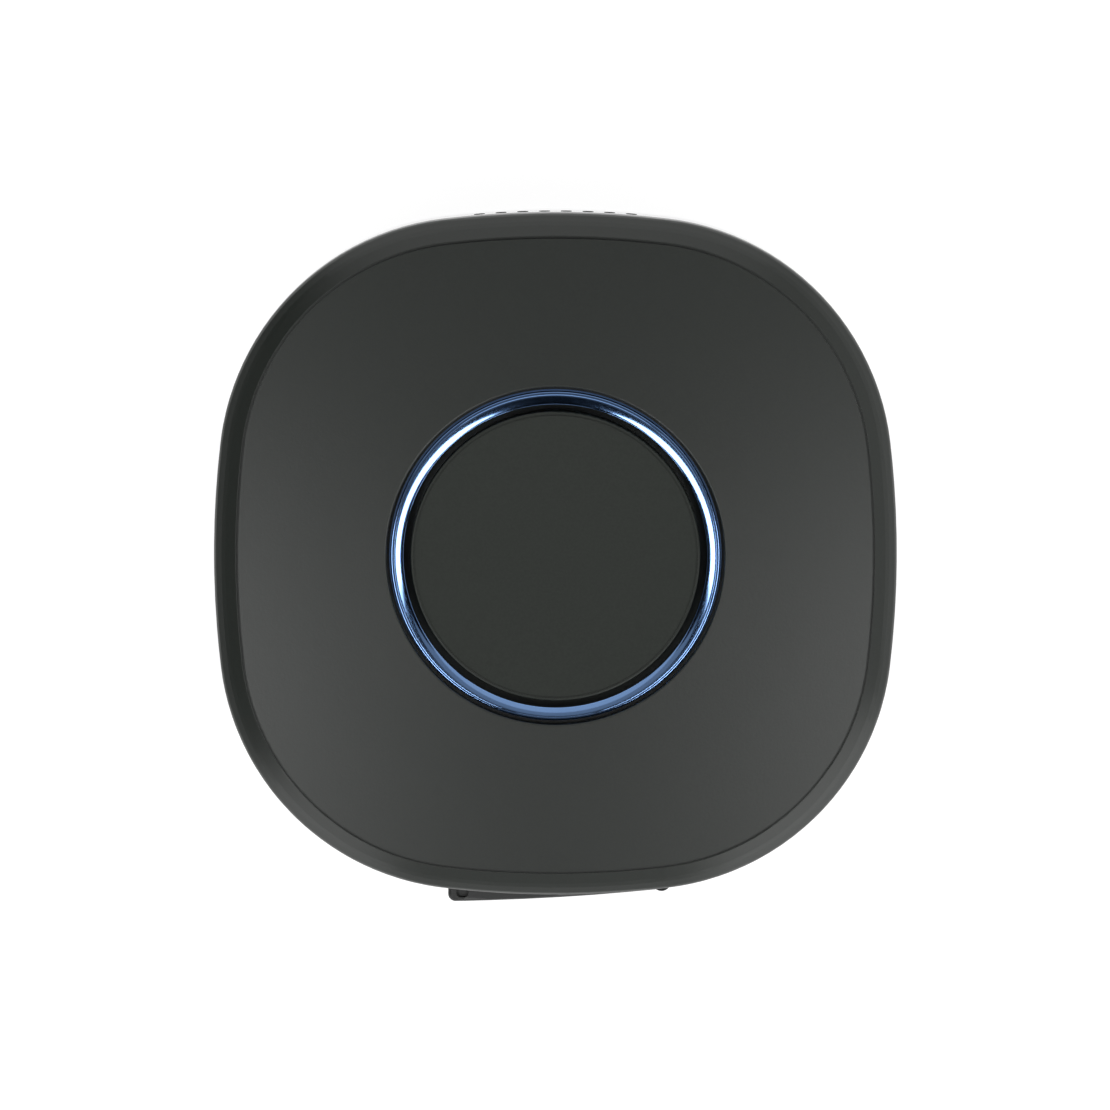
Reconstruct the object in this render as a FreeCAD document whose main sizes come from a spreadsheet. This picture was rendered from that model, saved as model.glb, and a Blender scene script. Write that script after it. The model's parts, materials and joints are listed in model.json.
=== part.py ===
"""Wireless audio receiver: a palm-sized rounded-square puck that lies on its back with one round button.

Frame: +Z up out of the front face, +Y towards the vented side, -Y towards the port side, +X to the right.
The origin is under the middle of the rubber foot, on the surface that the puck rests on. Sizes are in mm.
"""

import FreeCAD, Part

import math
import os
import re

import Sketcher

# Driving dimensions: alias, value and what it is. Radii are from the button axis, heights from the table.
DIMENSIONS = [
    ("half_width", 25.0, "half of the width across the flats, at the widest section"),
    ("side_radius", 69.7, "radius of the four bowed sides of the outline"),
    ("corner_radius", 18.6, "radius of the four corners of the outline"),
    ("face_height", 20.0, "front face above the table, at the edge of its round opening"),
    ("face_dome_radius", 380.0, "radius of the slightly domed front face"),
    ("base_height", 0.6, "underside of the rear housing above the table"),
    ("split_height", 15.8, "lower edge of the front cover"),
    ("split_gap", 0.2, "shadow gap between the two shells"),
    ("shell_wall", 1.6, "side wall of both shells and floor of the rear one"),
    ("rear_inset", 0.2, "how far the rear housing stands inside the front cover"),
    ("rear_round", 7.0, "outer radius between the rear housing's side and its underside"),
    ("lip_wall", 0.7, "thickness of the locating lip on the rear housing"),
    ("lip_rise", 1.2, "height of the locating lip above the rear housing's edge"),
    ("face_thickness", 1.8, "front wall of the front cover"),
    ("rim_edge_height", 18.24, "top of the front cover's upright skirt"),
    ("shoulder_height", 18.87, "line between the two bands of the rim"),
    ("crease_height", 19.35, "upper edge of the rim"),
    ("shoulder_inset", 0.7, "that line inside the outline"),
    ("crease_inset", 1.59, "upper edge of the rim inside the outline"),
    ("crease_width", 0.16, "width of the fine groove between the rim and the face"),
    ("crease_depth", 0.14, "depth of that groove"),
    ("face_hole_radius", 12.36, "round opening in the front face"),
    ("face_hole_round", 0.14, "edge radius of that opening"),
    ("face_ledge_radius", 12.16, "ledge inside that opening, round the ring's lip"),
    ("face_ledge_depth", 1.4, "depth of that ledge"),
    ("ring_inner_radius", 11.1, "inside of the trim ring"),
    ("ring_crown_radius", 11.85, "outside of the trim ring's crown"),
    ("ring_crown_drop", 0.147, "fall of the crown towards the button"),
    ("ring_lip_radius", 12.06, "outside of the thin lip round the crown"),
    ("ring_flange_radius", 13.4, "flange of the trim ring under the face"),
    ("ring_flange", 0.8, "thickness of that flange"),
    ("ring_top", 20.05, "top of the crown"),
    ("ring_lip_top", 19.6, "top of the thin lip"),
    ("ring_slope_radius", 2.8, "radius of the crown's bowed slope"),
    ("crown_round", 0.08, "outer edge radius of the crown"),
    ("cap_radius", 10.58, "button cap"),
    ("cap_skirt_radius", 10.7, "skirt of the cap, below the ring"),
    ("cap_round", 0.1, "edge radius of the cap's upper face"),
    ("cap_groove_radius", 10.34, "middle of the fine groove inside that edge"),
    ("cap_groove_width", 0.12, "width of that groove"),
    ("cap_groove_depth", 0.07, "depth of that groove"),
    ("cap_flange_radius", 12.0, "flange that keeps the button cap in"),
    ("cap_flange_top", 17.35, "upper face of that flange"),
    ("cap_flange", 0.9, "thickness of that flange"),
    ("cap_bottom", 15.85, "lower edge of the cap's skirt"),
    ("cap_top", 19.95, "rim of the cap's upper face"),
    ("cap_dish_radius", 350.0, "radius of the hollow in the cap's upper face"),
    ("cap_wall", 1.15, "side wall of the cap"),
    ("cap_plate_bottom", 18.5, "underside of the cap's plate"),
    ("stem_radius", 2.0, "stem that presses the switch"),
    ("stem_bottom", 13.75, "lower end of the stem"),
    ("frame_floor_bottom", 14.4, "underside of the button frame"),
    ("frame_floor_top", 15.2, "upper face of the button frame's floor"),
    ("frame_hole_radius", 7.6, "hole in the button frame's floor"),
    ("frame_guide_radius", 12.08, "bore that guides the cap's flange"),
    ("frame_outer_radius", 14.2, "outside of the button frame"),
    ("frame_wall", 0.6, "walls of the button frame"),
    ("ear_radius", 16.0, "circle of the button frame's screws"),
    ("ear_width", 3.4, "width of the button frame's ears"),
    ("ear_top", 16.2, "upper face of the button frame's ears"),
    ("ear_thickness", 1.2, "thickness of those ears"),
    ("frame_screw_radius", 0.6, "shank of the button frame's screws"),
    ("light_inner_radius", 12.85, "inside of the light guide"),
    ("light_outer_radius", 13.5, "outside of the light guide"),
    ("light_ring_bottom", 15.9, "underside of the light guide's ring"),
    ("light_leg_width", 2.0, "width of a leg of the light guide"),
    ("led_height", 0.75, "height of a light-emitting diode"),
    ("spring_radius", 8.4, "mean radius of the button's return spring"),
    ("spring_wire", 0.5, "wire diameter of that spring"),
    ("spring_turns", 3.0, "turns of that spring"),
    ("board_bottom", 7.5, "underside of the main board"),
    ("board_top", 8.7, "upper face of the main board"),
    ("board_half", 20.6, "half width of the main board"),
    ("screw_spacing", 23.4, "distance between the case screws along X and Y"),
    ("rear_boss_radius", 2.5, "screw columns of the rear housing"),
    ("front_boss_radius", 2.1, "screw columns of the front cover"),
    ("screw_seat", 3.0, "height of the seat of the case screws' heads"),
    ("screw_head_radius", 1.9, "head of a case screw"),
    ("screw_head", 1.4, "height of that head"),
    ("screw_radius", 0.95, "shank of a case screw"),
    ("screw_tip", 13.4, "upper end of a case screw"),
    ("pilot_top", 14.6, "upper end of the pilot holes"),
    ("foot_half", 17.0, "half width of the foot"),
    ("foot_thickness", 1.4, "thickness of the foot"),
    ("foot_clearance", 0.1, "gap between the foot and the wall of its recess"),
    ("vent_count", 8, "number of vents"),
    ("vent_pitch", 1.6, "spacing of the vents"),
    ("vent_width", 0.8, "width of a vent"),
    ("vent_tall", 1.8, "height of a vent"),
    ("vent_height", 10.2, "middle of the vents"),
    ("bay_left", -8.1, "left wall of the port bay"),
    ("bay_right", 8.75, "right wall of the port bay"),
    ("bay_bottom", 8.2, "lower wall of the port bay"),
    ("bay_top", 14.2, "upper wall of the port bay"),
    ("bay_floor", 23.3, "floor of the port bay, from the button axis along -Y"),
    ("bay_back", 21.3, "inner face of the thick wall behind the port bay"),
    ("hinge_x", 7.8, "hinge of the port flap along X"),
    ("hinge_y", 24.3, "hinge of the port flap along -Y"),
    ("hinge_barrel", 0.7, "radius of the flap's barrel and of the housing's two ears"),
    ("hinge_pin_radius", 0.4, "hinge pin"),
    ("hinge_running_gap", 0.05, "radial gap between the pin and the flap"),
    ("flap_left", -7.9, "free end of the flap"),
    ("flap_gap", 0.2, "gap above and below the flap"),
    ("flap_inner", 23.35, "inner face of the flap, along -Y"),
    ("flap_lip", 25.91, "reach of the flap's free end, along -Y"),
    ("flap_bow", 172.0, "radius of the flap's bowed outer face"),
    ("jack_x", 4.1, "axis of the audio jack"),
    ("jack_height", 11.2, "axis of the audio jack"),
    ("jack_bore", 1.8, "radius of the jack's bore"),
    ("jack_nose_radius", 2.5, "nose of the jack"),
    ("jack_nose_front", 22.5, "front of that nose, along -Y"),
    ("jack_bore_end", 9.0, "inner end of the jack's bore, along -Y"),
    ("jack_stub_radius", 2.3, "pad on the flap that seals the hole in front of the jack"),
    ("jack_front", 20.4, "front of the jack's body, along -Y"),
    ("jack_length", 12.0, "length of the jack's body"),
    ("jack_width", 6.2, "width of the jack's body"),
    ("usb_x", -3.3, "axis of the charging socket"),
    ("usb_width", 7.5, "width of the charging socket"),
    ("usb_tall", 2.6, "height of the charging socket"),
    ("usb_front", 22.9, "front of the charging socket, along -Y"),
    ("usb_length", 5.6, "length of the charging socket"),
    ("usb_wall", 0.3, "sheet that the socket's shell is folded from"),
    ("cell_bottom", 2.6, "underside of the battery cell"),
    ("cell_thickness", 4.0, "thickness of the battery cell"),
    ("cell_width", 17.0, "width of the battery cell"),
    ("cell_length", 30.0, "length of the battery cell"),
    ("wire_radius", 0.4, "battery wire with its insulation"),
    ("wire_spacing", 1.3, "distance between the two battery wires"),
    ("wire_socket_height", 10.3, "height of the wires at the board"),
    ("wire_cell_height", 4.8, "height of the wires at the cell"),
    ("wire_outer_y", 21.9, "where the wires pass the edge of the board"),
    ("wire_bend", 1.2, "bend radius of the wires"),
    ("switch_side", 6.0, "side of the switch"),
    ("switch_body_top", 12.1, "top of the switch's base"),
    ("switch_top", 12.4, "top of the switch's cover"),
    ("plunger_radius", 1.7, "plunger of the switch"),
    ("plunger_top", 13.7, "top of the plunger"),
    ("plunger_bottom", 11.5, "lower end of the plunger"),
    ("module_board_top", 9.5, "upper face of the radio module's board"),
    ("shield_top", 11.1, "top of the radio module's shield"),
]
NAMES = {alias for alias, _, _ in DIMENSIONS}
CORNERS = [(1, 1), (-1, 1), (-1, -1), (1, -1)]
LIGHT_LEG_ANGLES = (90, 210, 330)
UP = FreeCAD.Vector(0, 0, 1)

doc = FreeCAD.newDocument("receiver")
sheet = doc.addObject("Spreadsheet::Sheet", "dims")
scratch = doc.addObject("Spreadsheet::Sheet", "scratch")
sub_parts = []


# ------------------------------------------------------------------------------------- sheet and formulas

def fill_sheet():
    for row, (alias, number, meaning) in enumerate(DIMENSIONS, 1):
        sheet.set(f"A{row}", alias)
        sheet.set(f"B{row}", str(number))
        sheet.set(f"C{row}", meaning)
        sheet.setAlias(f"B{row}", alias)
    doc.recompute()


def formula(text):
    """A formula of the sheet's aliases, written so that any object of the document can use it."""
    return re.sub(r"[a-z_]+", lambda m: "dims." + m[0] if m[0] in NAMES else m[0], str(text))


def value(text):
    """The number that a formula gives."""
    scratch.set("A1", "=" + formula(text))
    scratch.recompute()
    number = scratch.get("A1")
    return float(getattr(number, "Value", number))


def bind(thing, **formulas):
    """Sets properties, such as Length or Radius, by formulas of the sheet."""
    for name, text in formulas.items():
        thing.setExpression(name, formula(text))
    return thing


def keep(label, thing):
    """The finished object becomes the sub-part of that name."""
    thing.Label = label
    sub_parts.append(thing)
    return thing


# ------------------------------------------------------------------------------------- sketches

def new_sketch(body, role, offset="0"):
    """An empty sketch on one of the body's origin planes, moved along the plane's normal by a formula."""
    sketch = body.newObject("Sketcher::SketchObject", "sketch")
    origin_plane = next(f for f in body.Origin.OriginFeatures if f.Role == role)
    sketch.AttachmentSupport = [(origin_plane, "")]
    sketch.MapMode = "FlatFace"
    sketch.setExpression("AttachmentOffset.Base.z", formula(offset))
    return sketch


def constrain(sketch, kind, *where_and_text):
    """Adds a dimension to a sketch and binds it to a formula."""
    *where, text = where_and_text
    index = sketch.addConstraint(Sketcher.Constraint(kind, *where, value(text)))
    name = f"size{index}"
    sketch.renameConstraint(index, name)
    sketch.setExpression(f"Constraints.{name}", formula(text))


def add_outline(sketch, half, side="", corner=""):
    """The rounded square: four bowed sides and four corners, tangent to each other.

    With only half given it is the object's outline, offset inwards to that half width.
    """
    side = side or f"side_radius - half_width + ({half})"
    corner = corner or f"corner_radius - half_width + ({half})"
    first = sketch.GeometryCount
    h, big, small = value(half), value(side), value(corner)
    centre = h - big
    reach = big - small
    diagonal = (2 * centre + math.sqrt(4 * centre**2 - 8 * (centre**2 - reach**2))) / 4
    turn = math.atan2(diagonal, diagonal - centre)
    for quarter in range(4):
        a = quarter * math.pi / 2
        middle = FreeCAD.Vector(centre * math.cos(a), centre * math.sin(a), 0)
        sketch.addGeometry(Part.ArcOfCircle(Part.Circle(middle, UP, big), a - turn, a + turn), False)
        b = a + math.pi / 4
        out = diagonal * math.sqrt(2)
        middle = FreeCAD.Vector(out * math.cos(b), out * math.sin(b), 0)
        circle = Part.Circle(middle, UP, small)
        sketch.addGeometry(Part.ArcOfCircle(circle, a + turn, a + math.pi / 2 - turn), False)
    for i in range(8):
        sketch.addConstraint(Sketcher.Constraint("Tangent", first + i, 2, first + (i + 1) % 8, 1))
    for quarter in range(4):
        arc = first + 2 * quarter
        sketch.addConstraint(Sketcher.Constraint("PointOnObject", arc, 3, -1 if quarter % 2 == 0 else -2))
        ends = [(arc, 3), (-1, 1)] if quarter < 2 else [(-1, 1), (arc, 3)]
        along = "DistanceX" if quarter % 2 == 0 else "DistanceY"
        constrain(sketch, along, *ends[0], *ends[1], f"({side}) - ({half})")
        if quarter:
            sketch.addConstraint(Sketcher.Constraint("Equal", first, arc))
            sketch.addConstraint(Sketcher.Constraint("Equal", first + 1, arc + 1))
    constrain(sketch, "Radius", first, side)
    constrain(sketch, "Radius", first + 1, corner)


def add_profile(sketch, points):
    """A closed outline of (x, y) formulas. A third formula makes the line from that point on an arc of that
    radius, which bulges to the right of the way round, or to the left if the radius is negative."""
    first = sketch.GeometryCount
    count = len(points)
    places = [FreeCAD.Vector(value(p[0]), value(p[1]), 0) for p in points]
    for i, p in enumerate(points):
        start, end = places[i], places[(i + 1) % count]
        if len(p) == 2:
            sketch.addGeometry(Part.LineSegment(start, end), False)
            continue
        radius = value(p[2])
        chord = end - start
        right = FreeCAD.Vector(chord.y, -chord.x, 0).normalize()
        rise = abs(radius) - math.sqrt(radius**2 - (chord.Length / 2) ** 2)
        middle = (start + end) * 0.5 + right * math.copysign(rise, radius)
        sketch.addGeometry(Part.ArcOfCircle(start, middle, end), False)
    for i, p in enumerate(points):
        here, after = first + i, first + (i + 1) % count
        arc = len(p) == 3
        next_arc = len(points[(i + 1) % count]) == 3
        end_of_here = arc_end(sketch, here, places[(i + 1) % count]) if arc else 2
        start_of_after = arc_end(sketch, after, places[(i + 1) % count]) if next_arc else 1
        sketch.addConstraint(Sketcher.Constraint("Coincident", here, end_of_here, after, start_of_after))
    for i, p in enumerate(points):
        here = first + i
        corner = arc_end(sketch, here, places[i]) if len(p) == 3 else 1
        for kind, text, axis in (("DistanceX", p[0], -2), ("DistanceY", p[1], -1)):
            if abs(value(text)) < 1e-9:
                sketch.addConstraint(Sketcher.Constraint("PointOnObject", here, corner, axis))
            else:
                constrain(sketch, kind, -1, 1, here, corner, text)
        if len(p) == 3:
            constrain(sketch, "Radius", here, f"abs({p[2]})")


def arc_end(sketch, index, place):
    """Which end of an arc lies at that place: 1 for its start and 2 for its end."""
    return 1 if sketch.getPoint(index, 1).distanceToPoint(place) < 1e-6 else 2


def add_circle(sketch, x, y, radius):
    index = sketch.GeometryCount
    centre = FreeCAD.Vector(value(x), value(y), 0)
    sketch.addGeometry(Part.Circle(centre, UP, value(radius)), False)
    for kind, text, axis in (("DistanceX", x, -2), ("DistanceY", y, -1)):
        if abs(value(text)) < 1e-9:
            sketch.addConstraint(Sketcher.Constraint("PointOnObject", index, 3, axis))
        else:
            constrain(sketch, kind, -1, 1, index, 3, text)
    constrain(sketch, "Radius", index, radius)


def add_rectangle(sketch, left, right, bottom, top):
    add_profile(sketch, [(left, bottom), (right, bottom), (right, top), (left, top)])


def add_rounded(sketch, left, right, bottom, top, radius):
    """A rectangle with rounded corners: each corner is a quarter circle between two points."""
    l, r, b, t = (f"({side})" for side in (left, right, bottom, top))
    add_profile(sketch, [
        (f"{l} + ({radius})", b), (f"{r} - ({radius})", b, radius),
        (r, f"{b} + ({radius})"), (r, f"{t} - ({radius})", radius),
        (f"{r} - ({radius})", t), (f"{l} + ({radius})", t, radius),
        (l, f"{t} - ({radius})"), (l, f"{b} + ({radius})", radius),
    ])


# ------------------------------------------------------------------------------------- features

def new_body(name):
    return doc.addObject("PartDesign::Body", name)


def check_feature(body, feature, grows):
    """Recomputes, and stops if the feature failed or left the body's volume as it was."""
    doc.recompute()
    before = feature.BaseFeature.Shape.Volume if feature.BaseFeature else 0.0
    change = feature.Shape.Volume - before
    if "Up-to-date" not in feature.State or (change > 0) != grows or abs(change) < 1e-6:
        raise RuntimeError(f"{body.Label}: {feature.Name} is {feature.State}, volume changed by {change}")
    body.Tip = feature
    return feature


def add_feature(body, kind, sketch, grows, length, reverse):
    feature = body.newObject(f"PartDesign::{kind}", kind.lower())
    feature.Profile = sketch
    feature.Reversed = reverse
    bind(feature, Length=length)
    sketch.Visibility = False
    return check_feature(body, feature, grows)


def pad(body, sketch, length, reverse=False):
    return add_feature(body, "Pad", sketch, True, length, reverse)


def pocket(body, sketch, length, reverse=False):
    """Cuts against the sketch plane's normal, or along it if reverse is true."""
    return add_feature(body, "Pocket", sketch, False, length, reverse)


def turn(body, points, kind="Revolution"):
    """A solid of revolution about Z, from an outline of (radius, height) formulas. A Groove cuts it away."""
    sketch = new_sketch(body, "XZ_Plane")
    add_profile(sketch, points)
    feature = body.newObject(f"PartDesign::{kind}", kind.lower())
    feature.Profile = sketch
    feature.ReferenceAxis = (sketch, ["V_Axis"])
    feature.Angle = 360
    return check_feature(body, feature, kind == "Revolution")


def loft(body, lower, upper):
    feature = body.newObject("PartDesign::AdditiveLoft", "loft")
    feature.Profile = lower
    feature.Sections = [upper]
    feature.Ruled = True
    return check_feature(body, feature, True)


def round_edges(body, radius, chosen, grows=False):
    """Rounds the edges that the test chooses. A corner that gains material, inside a shell, grows."""
    last = body.Tip
    names = [f"Edge{i}" for i, edge in enumerate(last.Shape.Edges, 1) if chosen(edge)]
    feature = body.newObject("PartDesign::Fillet", "fillet")
    feature.Base = (last, names)
    bind(feature, Radius=radius)
    return check_feature(body, feature, grows)


def hollow_out(body, wall, chosen):
    """Leaves a wall of that thickness inside the outer faces, open where the test chooses a face."""
    last = body.Tip
    names = [f"Face{i}" for i, face in enumerate(last.Shape.Faces, 1) if chosen(face)]
    feature = body.newObject("PartDesign::Thickness", "hollow")
    feature.Base = (last, names)
    feature.Reversed = True
    feature.Join = "Arc"
    bind(feature, Value=wall)
    return check_feature(body, feature, False)


def level(shape, height):
    """True for an edge or a face that lies at that height."""
    box = shape.BoundBox
    return abs(box.ZMin - value(height)) < 1e-4 and abs(box.ZMax - value(height)) < 1e-4


def circular(edge, radius):
    """True for an arc or circle of that radius."""
    return abs(getattr(edge.Curve, "Radius", 0.0) - value(radius)) < 1e-4


def repeat_round(body, feature, sketch, count):
    """Repeats a feature about Z, evenly."""
    pattern = body.newObject("PartDesign::PolarPattern", "pattern")
    pattern.Originals = [feature]
    pattern.Axis = (sketch, ["N_Axis"])
    pattern.Occurrences = count
    return check_feature(body, pattern, "Pad" in feature.TypeId)


def repeat_along(body, feature, sketch, step, count):
    """Repeats a feature along the sketch's first axis."""
    pattern = body.newObject("PartDesign::LinearPattern", "pattern")
    pattern.Originals = [feature]
    pattern.Direction = (sketch, ["H_Axis"])
    bind(pattern, Length=f"({step}) * (({count}) - 1)", Occurrences=count)
    return check_feature(body, pattern, "Pad" in feature.TypeId)


# ------------------------------------------------------------------------------------- primitives

def place(thing, x, y, z):
    for axis, text in zip("xyz", (x, y, z)):
        thing.setExpression(f"Placement.Base.{axis}", formula(text))
    return thing


def block(x, y, z, length, width, height):
    """A box by its lowest corner and its sizes along X, Y and Z."""
    thing = doc.addObject("Part::Box", "block")
    bind(thing, Length=length, Width=width, Height=height)
    return place(thing, x, y, z)


def centred_block(x, y, z, length, width, height):
    """A box whose footprint is centred on (x, y) and whose underside is at z."""
    corner = (f"({x}) - ({length}) / 2", f"({y}) - ({width}) / 2", z)
    return block(*corner, length, width, height)


def cylinder(x, y, z, radius, height, axis=UP):
    thing = doc.addObject("Part::Cylinder", "cylinder")
    bind(thing, Radius=radius, Height=height)
    thing.Placement.Rotation = FreeCAD.Rotation(UP, axis)
    return place(thing, x, y, z)


def united(*things):
    fuse = doc.addObject("Part::MultiFuse", "fuse")
    fuse.Shapes = list(things)
    return fuse


def cut_away(base, tool):
    cut = doc.addObject("Part::Cut", "cut")
    cut.Base = base
    cut.Tool = tool
    return cut


def group_of(*things):
    """Separate solids that share one sub-part."""
    compound = doc.addObject("Part::Compound", "group")
    compound.Links = list(things)
    return compound


def at_corners(spacing):
    """The four places, as formulas, of something that repeats on a square round the button axis."""
    return [(f"{sx} * {spacing} / 2", f"{sy} * {spacing} / 2") for sx, sy in CORNERS]


def on_circle(radius, degrees):
    """The place, as formulas, on a circle round the button axis."""
    return f"({radius}) * cos({degrees} deg)", f"({radius}) * sin({degrees} deg)"


# ------------------------------------------------------------------------------------- shells and foot

def rear_housing():
    body = new_body("rear")
    rear_half = "half_width - rear_inset"
    edge = "split_height - split_gap"
    floor_top = "base_height + shell_wall"
    outline = new_sketch(body, "XY_Plane", "base_height")
    add_outline(outline, rear_half)
    pad(body, outline, f"{edge} - base_height")
    round_edges(body, "rear_round", lambda e: level(e, "base_height"))
    hollow_out(body, "shell_wall", lambda f: level(f, edge))
    round_edges(body, "0.3", lambda e: level(e, edge) and (circular(e, "side_radius - rear_inset")
                                                           or circular(e, "corner_radius - rear_inset")))
    lip = new_sketch(body, "XY_Plane", f"{edge} - 1")
    add_outline(lip, "half_width - shell_wall - 0.1")
    add_outline(lip, "half_width - shell_wall - 0.1 - lip_wall")
    pad(body, lip, "lip_rise + 1")

    port_wall = new_sketch(body, "XY_Plane", "bay_bottom - 1")
    add_rectangle(port_wall, "bay_left - 1.2", "bay_right + 1", "-(bay_floor + 0.3)", "-bay_back")
    pad(body, port_wall, "bay_top - bay_bottom + 2")
    ears = new_sketch(body, "XY_Plane", "bay_bottom - 1.2")
    add_circle(ears, "hinge_x", "-hinge_y", "hinge_barrel")
    pad(body, ears, "bay_top - bay_bottom + 2.4")
    bay = new_sketch(body, "XZ_Plane", "bay_floor")
    add_rounded(bay, "bay_left", "bay_right", "bay_bottom", "bay_top", "0.5")
    pocket(body, bay, "4", reverse=True)
    pin_hole = new_sketch(body, "XY_Plane", "bay_bottom - 1")
    add_circle(pin_hole, "hinge_x", "-hinge_y", "hinge_pin_radius + 0.01")
    pocket(body, pin_hole, "split_height - bay_bottom + 1", reverse=True)
    openings = new_sketch(body, "XZ_Plane", "bay_floor + 1")
    add_circle(openings, "jack_x", "jack_height", "jack_nose_radius + 0.15")
    usb_middle = "board_top + usb_tall / 2"
    add_rounded(openings, "usb_x - usb_width / 2 - 0.2", "usb_x + usb_width / 2 + 0.2",
                f"{usb_middle} - usb_tall / 2 - 0.2", f"{usb_middle} + usb_tall / 2 + 0.2", "0.6")
    pocket(body, openings, "bay_floor - bay_back + 2")

    vent = new_sketch(body, "XZ_Plane", "5 - half_width")
    first_vent = "-vent_pitch * (vent_count - 1) / 2"
    add_rounded(vent, f"{first_vent} - vent_width / 2", f"{first_vent} + vent_width / 2",
                "vent_height - vent_tall / 2", "vent_height + vent_tall / 2", "0.39")
    repeat_along(body, pocket(body, vent, "8"), vent, "vent_pitch", "vent_count")

    bosses = new_sketch(body, "XY_Plane", f"{floor_top} - 0.4")
    for x, y in at_corners("screw_spacing"):
        add_circle(bosses, x, y, "rear_boss_radius")
    pad(body, bosses, f"board_bottom - ({floor_top}) + 0.4")
    cell_ribs = new_sketch(body, "XY_Plane", f"{floor_top} - 0.4")
    for side in (-1, 1):
        near, far = "cell_length / 2 + 0.3", "cell_length / 2 + 1.1"
        ends = (near, far) if side > 0 else (f"-({far})", f"-({near})")
        for left, right in (("-6.5", "-2.5"), ("2.5", "6.5")):
            add_rectangle(cell_ribs, left, right, *ends)
    pad(body, cell_ribs, "2.6")
    foot_recess = new_sketch(body, "XY_Plane")
    add_outline(foot_recess, "foot_half + foot_clearance")
    pocket(body, foot_recess, "foot_thickness", reverse=True)
    bores = [("screw_head_radius + 0.15", "screw_seat"), ("screw_radius + 0.2", "board_bottom + 1")]
    for radius, depth in bores:
        holes = new_sketch(body, "XY_Plane")
        for x, y in at_corners("screw_spacing"):
            add_circle(holes, x, y, radius)
        pocket(body, holes, depth, reverse=True)
    keep("rear_housing", body)


def front_cover():
    body = new_body("front")
    skirt = new_sketch(body, "XY_Plane", "split_height")
    add_outline(skirt, "half_width")
    pad(body, skirt, "rim_edge_height - split_height")
    bands = [("rim_edge_height", "half_width"), ("shoulder_height", "half_width - shoulder_inset"),
             ("crease_height", "half_width - crease_inset")]
    for (low, low_half), (high, high_half) in zip(bands, bands[1:]):
        lower = new_sketch(body, "XY_Plane", low)
        add_outline(lower, low_half)
        upper = new_sketch(body, "XY_Plane", high)
        add_outline(upper, high_half)
        loft(body, lower, upper)
    for height, radius in (("rim_edge_height", "0.5"), ("shoulder_height", "1.5"), ("split_height", "0.25")):
        round_edges(body, radius, lambda e: level(e, height))
    groove_half = "half_width - crease_inset - 0.06"
    face_half = f"{groove_half} - crease_width"
    groove = new_sketch(body, "XY_Plane", "crease_height")
    add_outline(groove, groove_half)
    add_outline(groove, face_half)
    pocket(body, groove, "crease_depth")
    face = new_sketch(body, "XY_Plane", "crease_height")
    add_outline(face, face_half)
    pad(body, face, "face_height - crease_height + 0.5")
    sphere = "face_height - sqrt(face_dome_radius ^ 2 - face_hole_radius ^ 2)"
    dome_start, dome_end = "face_hole_radius + face_hole_round", "half_width + 2"
    above, below = "face_height + 1", "split_height - 1"
    turn(body, [
        (dome_end, above),
        ("0", above),
        ("0", below),
        ("face_ledge_radius", below),
        ("face_ledge_radius", "face_height - face_ledge_depth"),
        ("face_hole_radius", "face_height - face_ledge_depth"),
        ("face_hole_radius", "face_height - face_hole_round", "-face_hole_round"),
        (dome_start, f"{sphere} + sqrt(face_dome_radius ^ 2 - ({dome_start}) ^ 2)", "-face_dome_radius"),
        (dome_end, f"{sphere} + sqrt(face_dome_radius ^ 2 - ({dome_end}) ^ 2)"),
    ], "Groove")
    hollow = new_sketch(body, "XY_Plane", "split_height")
    add_outline(hollow, "half_width - shell_wall")
    pocket(body, hollow, "face_height - face_thickness - split_height", reverse=True)

    face_back = "face_height - face_thickness"
    bosses = new_sketch(body, "XY_Plane", "board_top")
    for x, y in at_corners("screw_spacing"):
        add_circle(bosses, x, y, "front_boss_radius")
    pad(body, bosses, f"{face_back} - board_top + 0.2")
    pilots = new_sketch(body, "XY_Plane", "board_top")
    for x, y in at_corners("screw_spacing"):
        add_circle(pilots, x, y, "screw_radius + 0.05")
    pocket(body, pilots, "pilot_top - board_top", reverse=True)
    ear_posts = new_sketch(body, "XY_Plane", "ear_top")
    ear_pilots = new_sketch(body, "XY_Plane", "ear_top")
    for degrees in range(0, 360, 90):
        add_circle(ear_posts, *on_circle("ear_radius", degrees), "1.6")
        add_circle(ear_pilots, *on_circle("ear_radius", degrees), "frame_screw_radius + 0.02")
    pad(body, ear_posts, f"{face_back} - ear_top + 0.2")
    pocket(body, ear_pilots, "1.8", reverse=True)
    keep("front_cover", body)


def foot_pad():
    body = new_body("foot")
    outline = new_sketch(body, "XY_Plane")
    add_outline(outline, "foot_half")
    pad(body, outline, "foot_thickness")
    round_edges(body, "0.35", lambda e: level(e, "0"))
    keep("foot_pad", body)


def case_screws():
    screws = []
    for x, y in at_corners("screw_spacing"):
        head = cylinder(x, y, "screw_seat - screw_head", "screw_head_radius", "screw_head")
        shank = cylinder(x, y, "screw_seat - 0.2", "screw_radius", "screw_tip - screw_seat + 0.2")
        recess = [
            centred_block(x, y, "screw_seat - screw_head - 0.3", "1.9", "0.45", "1.0"),
            centred_block(x, y, "screw_seat - screw_head - 0.3", "0.45", "1.9", "1.0"),
        ]
        screws.append(cut_away(united(head, shank), united(*recess)))
    keep("case_screws", group_of(*screws))


# ------------------------------------------------------------------------------------- button and ring

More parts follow.
